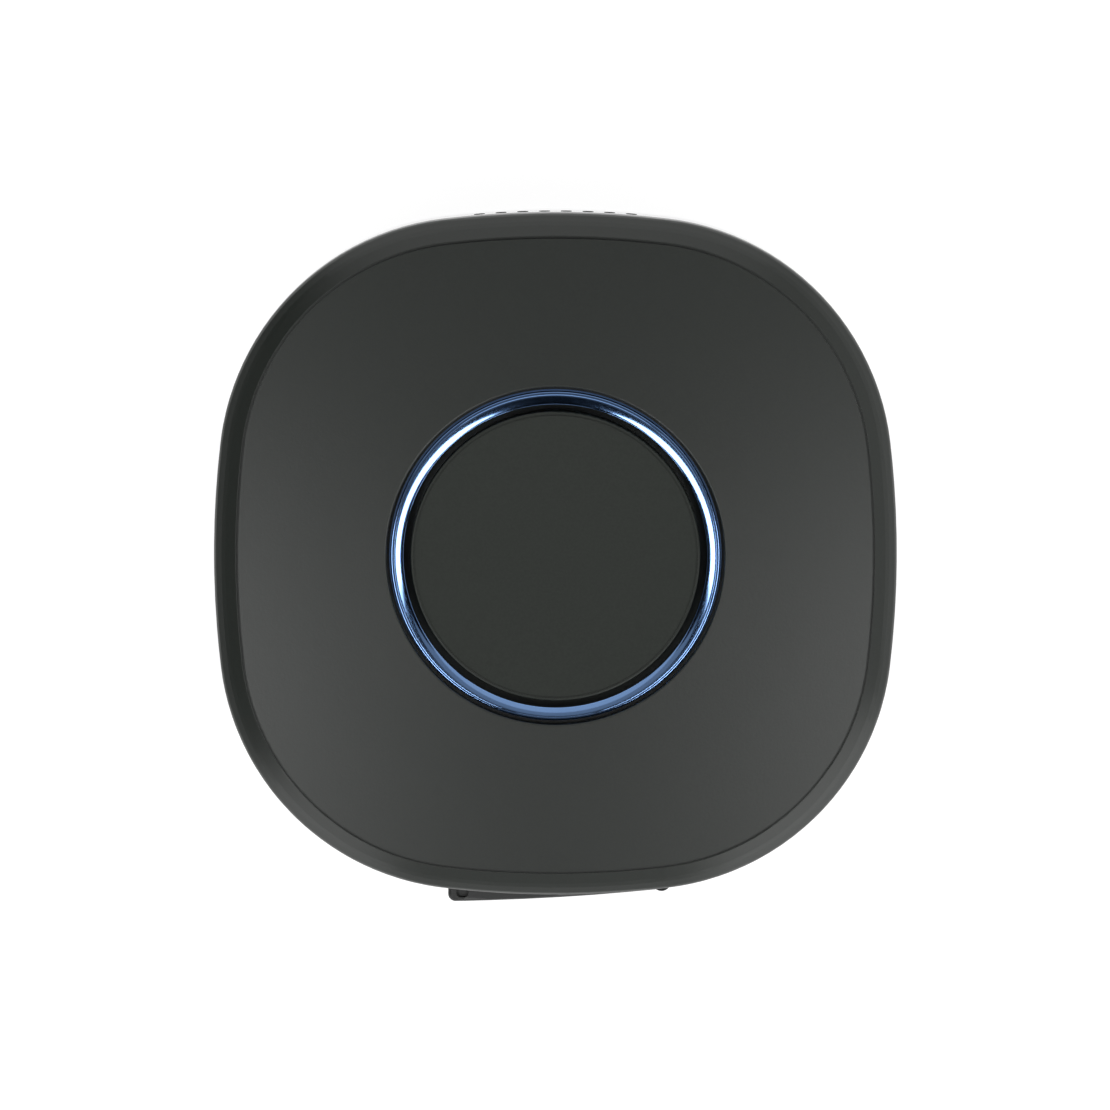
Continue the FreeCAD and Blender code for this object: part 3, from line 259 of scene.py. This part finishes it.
# moulded: colour, roughness, grain per metre, relief. metal: colour, roughness, scale of its lines.
# satin_cover: colour, roughness, specular level.
MATERIALS = {
    "shell_satin": satin_cover("shell_satin", (0.0135, 0.0165, 0.0140), 0.32, 0.48),
    "cap_satin": satin_cover("cap_satin", (0.0200, 0.0236, 0.0200), 0.34, 0.25),
    "shell_gloss": gloss_shell("shell_gloss", (0.017, 0.018, 0.018)),
    "blue_metal": blue_plating("blue_metal"),
    "foot_rubber": moulded("foot_rubber", (0.012, 0.012, 0.012), 0.75, 2200.0, 2e-5),
    "flap_rubber": moulded("flap_rubber", (0.016, 0.017, 0.017), 0.48, 3500.0, 6e-6),
    "screw_steel": metal("screw_steel", (0.42, 0.42, 0.43), 0.32),
    "spring_steel": metal("spring_steel", (0.55, 0.55, 0.56), 0.22, (6000.0, 6000.0, 900.0)),
    "plated_steel": metal("plated_steel", (0.60, 0.60, 0.58), 0.28),
    "gold_brass": metal("gold_brass", (0.85, 0.60, 0.22), 0.24),
    "inner_plastic": moulded("inner_plastic", (0.008, 0.008, 0.009), 0.55, 3000.0, 8e-6),
    "clear_plastic": milky_guide("clear_plastic"),
    "led_white": moulded("led_white", (0.80, 0.76, 0.58), 0.35, 2500.0, 4e-6),
    "cream_plastic": moulded("cream_plastic", (0.66, 0.60, 0.44), 0.50, 2500.0, 6e-6),
    "board_green": board("board_green"),
    "ceramic_white": moulded("ceramic_white", (0.72, 0.72, 0.66), 0.45, 5000.0, 5e-6),
    "ceramic_brown": moulded("ceramic_brown", (0.20, 0.11, 0.05), 0.50, 5000.0, 5e-6),
    "chip_black": moulded("chip_black", (0.006, 0.006, 0.006), 0.60, 6000.0, 1e-5),
    "can_aluminium": metal("can_aluminium", (0.66, 0.66, 0.66), 0.30, (9000.0, 9000.0, 900.0)),
    "jack_black": moulded("jack_black", (0.007, 0.007, 0.008), 0.45, 3000.0, 8e-6),
    "mesh_black": mesh_cloth("mesh_black"),
    "cell_foil": pouch("cell_foil"),
    "tape_foam": moulded("tape_foam", (0.78, 0.78, 0.72), 0.85, 2500.0, 3e-5),
    "wire_red": moulded("wire_red", (0.42, 0.010, 0.008), 0.38, 2500.0, 5e-6),
    "wire_black": moulded("wire_black", (0.008, 0.008, 0.008), 0.38, 2500.0, 5e-6),
}
slot_of = {entry["node"]: entry["material_slot"] for entry in frame["record"]["subparts"]}
for name, thing in frame["nodes"].items():
    thing.data.materials.clear()
    thing.data.materials.append(MATERIALS[slot_of[name]])


# --------------------------------------------------------------------------------------- new pieces

def new_piece(name, mesh_maker, slot, body):
    """A smooth-shaded mesh object made by mesh_maker(bmesh), in the CAD's frame, on that body."""
    bm = bmesh.new()
    mesh_maker(bm)
    bmesh.ops.recalc_face_normals(bm, faces=bm.faces)
    mesh = bpy.data.meshes.new(name)
    bm.to_mesh(mesh)
    bm.free()
    piece = bpy.data.objects.new(name, mesh)
    bpy.context.scene.collection.objects.link(piece)
    mesh.materials.append(MATERIALS[slot])
    for face in mesh.polygons:
        face.use_smooth = True
    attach(piece, body)
    return piece


# ------------------------------------------------------------------------------------ return spring

WIRE_RADIUS = 0.25 * MM
TURNS = 3.0
STEPS_PER_TURN = 84
WIRE_SIDES = 12
FLAT_END = 0.1  # share of the wire that lies flat at each end


def coil(bm):
    """Round wire, wound from the frame's floor to the cap, with its end turns closed."""
    low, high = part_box("return_spring")
    coil_radius = (high.x - low.x) / 2 - WIRE_RADIUS
    bottom, top = low.z + WIRE_RADIUS, high.z - WIRE_RADIUS
    up = Vector((0, 0, 1))
    count = int(TURNS * STEPS_PER_TURN)
    rings = []
    for i in range(count + 1):
        t = i / count
        angle = 2 * math.pi * TURNS * t
        rise = min(max((t - FLAT_END) / (1 - 2 * FLAT_END), 0.0), 1.0)
        out = Vector((math.cos(angle), math.sin(angle), 0))
        centre = out * coil_radius + up * (bottom + (top - bottom) * rise)
        rings.append([bm.verts.new(centre + WIRE_RADIUS * (math.cos(a) * out + math.sin(a) * up))
                      for a in (2 * math.pi * k / WIRE_SIDES for k in range(WIRE_SIDES))])
    for a, b in zip(rings, rings[1:]):
        for k in range(WIRE_SIDES):
            n = (k + 1) % WIRE_SIDES
            bm.faces.new((a[k], a[n], b[n], b[k]))
    bm.faces.new(list(reversed(rings[0])))
    bm.faces.new(rings[-1])


spring = new_piece("return_spring_coil", coil, "spring_steel", "case")
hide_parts("return_spring")
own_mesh(spring)


# ---------------------------------------------------------------------------------------- trim ring

# The CAD ring's section, in millimetres, with finer facets than the CAD mesh has.
RING_INNER, RING_CROWN, RING_LIP = 11.1, 11.85, 12.06
RING_FLANGE_TOP, RING_LIP_TOP = 18.2, 19.6
CROWN_DROP = 0.147
CROWN_BOW = 2.8
CROWN_ROUND, LIP_ROUND, INNER_ROUND = 0.08, 0.12, 0.06
RING_SIDES = 288
ROUND_STEPS, BOW_STEPS = 8, 24
BOW_STEPS_CUT = 3  # steps at the slope's inner end that its round takes up
SHARP_ANGLE = math.radians(32)


def rounded(before, corner, after, radius):
    """Points along the rounded corner between two straight runs."""
    into, out = (corner - before).normalized(), (after - corner).normalized()
    turn = into.angle(out)
    start = corner - into * radius * math.tan(turn / 2)
    toward = (out - into * into.dot(out)).normalized()
    return [start + radius * (math.sin(a) * into + (1 - math.cos(a)) * toward)
            for a in (turn * i / ROUND_STEPS for i in range(ROUND_STEPS + 1))]


def bowed(start, end, radius):
    """Points along an arc that bows upwards between two points."""
    chord = end - start
    across = Vector((chord.y, -chord.x)).normalized()
    middle = (start + end) / 2 - across * math.sqrt(radius ** 2 - (chord.length / 2) ** 2)
    first, last = (math.atan2(p.y - middle.y, p.x - middle.x) for p in (start, end))
    return [middle + radius * Vector((math.cos(a), math.sin(a)))
            for a in (first + (last - first) * i / BOW_STEPS for i in range(BOW_STEPS + 1))]


def polished_ring(bm):
    """The turned ring: a crown that falls in a slight bow to the button, a lip and a flange."""
    low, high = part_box("trim_ring")
    outer, bottom, top = high.x / MM, low.z / MM, high.z / MM
    slope = bowed(Vector((RING_CROWN - CROWN_ROUND, top)), Vector((RING_INNER, top - CROWN_DROP)),
                  CROWN_BOW)
    crown_corner, lip_corner = Vector((RING_CROWN, top)), Vector((RING_LIP, RING_LIP_TOP))
    crown_foot = Vector((RING_CROWN, RING_LIP_TOP))
    section = [Vector((RING_INNER, bottom)), Vector((outer, bottom)),
               Vector((outer, RING_FLANGE_TOP)), Vector((RING_LIP, RING_FLANGE_TOP))]
    section += rounded(section[-1], lip_corner, crown_foot, LIP_ROUND)
    section += [crown_foot]
    section += rounded(crown_foot, crown_corner, Vector((RING_INNER, top)), CROWN_ROUND)
    section += slope[1:-BOW_STEPS_CUT]
    section += rounded(section[-1], slope[-1], section[0], INNER_ROUND)
    loops = []
    for k in range(RING_SIDES):
        angle = 2 * math.pi * k / RING_SIDES
        across, along = math.cos(angle), math.sin(angle)
        loops.append([bm.verts.new(MM * Vector((p.x * across, p.x * along, p.y))) for p in section])
    for a, b in zip(loops, loops[1:] + loops[:1]):
        for k in range(len(section)):
            n = (k + 1) % len(section)
            bm.faces.new((a[k], a[n], b[n], b[k]))


ring = new_piece("trim_ring_polished", polished_ring, "blue_metal", "case")
ring.data.set_sharp_from_angle(angle=SHARP_ANGLE)
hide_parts("trim_ring")


# -------------------------------------------------------------------------------------------- stage

# Lengths are in metres. A surface of luminance 1 shows as full white.
FLOOR_HALF = 1.2
FLOOR_LEVEL = -0.05 * MM  # just under the foot, so the two faces don't coincide
FLOOR_TONES = (0.30, 0.30, 0.30), (0.33, 0.33, 0.33)
FLOOR_GLOW = 0.88
WALL_DISTANCE, WALL_HEIGHT, WALL_FOOT = 0.5, 0.4, 0.02
CEILING = 0.32
DOWN = (0, 0, -1)
face_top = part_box("front_cover")[1].z
reach = CEILING - face_top

# The softboxes' inner, outer and front sides as shares of reach. Their back is at Y = 0.
SOFTBOX_NEAR, SOFTBOX_FAR, SOFTBOX_FRONT = 0.22, 0.48, -0.63
SOFTBOX_LUMINANCE = 5.8
# Name, middle in Y and size as shares of reach, luminance.
CEILING_PANELS = (
    ("overhead", -0.07, (0.36, 0.36), 0.13),
    ("rear_ceiling_near", 0.20, (0.9, 0.18), 0.32),
    ("rear_ceiling_far", 0.84, (1.8, 1.1), 0.65),
)
# Name, bearing and half-width in degrees, luminance.
WALLS = (
    ("rear_wall", 0, 38, 1.15),
    ("right_wall", 75, 32, 0.95),
    ("front_right_wall", 138, 26, 2.4),
    ("front_wall", 180, 13, 0.6),
    ("front_left_wall", 216, 17, 2.2),
    ("left_wall", 270, 30, 0.2),
)
WORLD_GREY = 0.9


def pale_floor():
    """Pale paper with some light of its own, so that it shows near white."""
    mesh = bpy.data.meshes.new("floor")
    corners = [(x * FLOOR_HALF, y * FLOOR_HALF, FLOOR_LEVEL)
               for x, y in ((-1, -1), (1, -1), (1, 1), (-1, 1))]
    mesh.from_pydata(corners, [], [(0, 1, 2, 3)])
    thing = bpy.data.objects.new("floor", mesh)
    bpy.context.scene.collection.objects.link(thing)
    m = Material("floor_paper", 0.9, Specular_IOR_Level=0.1)
    m.colour(m.mix(m.noise(40.0, 2.0), *FLOOR_TONES))
    m.shader.inputs["Emission Color"].default_value = (1, 1, 1, 1)
    m.shader.inputs["Emission Strength"].default_value = FLOOR_GLOW
    mesh.materials.append(m.mat)


def soft_panel(name, centre, facing, size, luminance):
    """An even rectangular soft light, which shows in reflections but not to the camera."""
    light = bpy.data.lights.new(name, "AREA")
    light.shape = "RECTANGLE"
    light.size, light.size_y = size
    light.energy = luminance * math.pi * size[0] * size[1]
    thing = bpy.data.objects.new(name, light)
    thing.location = centre
    thing.rotation_euler = Vector(facing).to_track_quat("-Z", "Y").to_euler()
    thing.visible_camera = False
    bpy.context.scene.collection.objects.link(thing)


def wall_panel(name, bearing, half_width, luminance):
    """An upright soft light at that bearing, clockwise from the rear, that faces the object."""
    out = Vector((math.sin(math.radians(bearing)), math.cos(math.radians(bearing)), 0))
    centre = WALL_DISTANCE * out + Vector((0, 0, WALL_FOOT + WALL_HEIGHT / 2))
    width = 2 * WALL_DISTANCE * math.tan(math.radians(half_width))
    soft_panel(name, centre, -out, (width, WALL_HEIGHT), luminance)


pale_floor()
for side, name in ((-1, "left"), (1, "right")):
    centre = (side * (SOFTBOX_NEAR + SOFTBOX_FAR) / 2 * reach, SOFTBOX_FRONT / 2 * reach, CEILING)
    size = ((SOFTBOX_FAR - SOFTBOX_NEAR) * reach, -SOFTBOX_FRONT * reach)
    soft_panel(f"{name}_softbox", centre, DOWN, size, SOFTBOX_LUMINANCE)
for name, middle, (width, depth), luminance in CEILING_PANELS:
    soft_panel(name, (0, middle * reach, CEILING), DOWN, (width * reach, depth * reach), luminance)
for name, bearing, half_width, luminance in WALLS:
    wall_panel(name, bearing, half_width, luminance)

# The world is the backdrop past the floor's edge. Only the camera sees it.
world = bpy.data.worlds.new("studio")
bpy.context.scene.world = world
world.use_nodes = True
backdrop = world.node_tree.nodes["Background"]
backdrop.inputs["Color"].default_value = (WORLD_GREY, WORLD_GREY, WORLD_GREY, 1)
backdrop.inputs["Strength"].default_value = 1.0
for ray in ("diffuse", "glossy", "transmission", "scatter"):
    setattr(world.cycles_visibility, ray, False)
bpy.context.scene.view_settings.view_transform = "Standard"


# ------------------------------------------------------------------------------------------- camera

TILT = math.radians(4.0)
DISTANCE = 1.0
SENSOR = 36
VIEW_WIDTH = 81.22 * MM
CLIP_START, CLIP_END = 0.01, 10

# A point a little under the face.
target = Vector((-0.03 * MM, -0.02 * MM, face_top - 1.5 * MM))
camera = bpy.data.objects.new("camera", bpy.data.cameras.new("camera"))
camera.location = target + DISTANCE * Vector((0, math.sin(TILT), math.cos(TILT)))
camera.rotation_euler = (-TILT, 0, 0)
camera.data.sensor_width = SENSOR
camera.data.lens = SENSOR * DISTANCE / VIEW_WIDTH
camera.data.clip_start, camera.data.clip_end = CLIP_START, CLIP_END
bpy.context.scene.collection.objects.link(camera)
bpy.context.scene.camera = camera
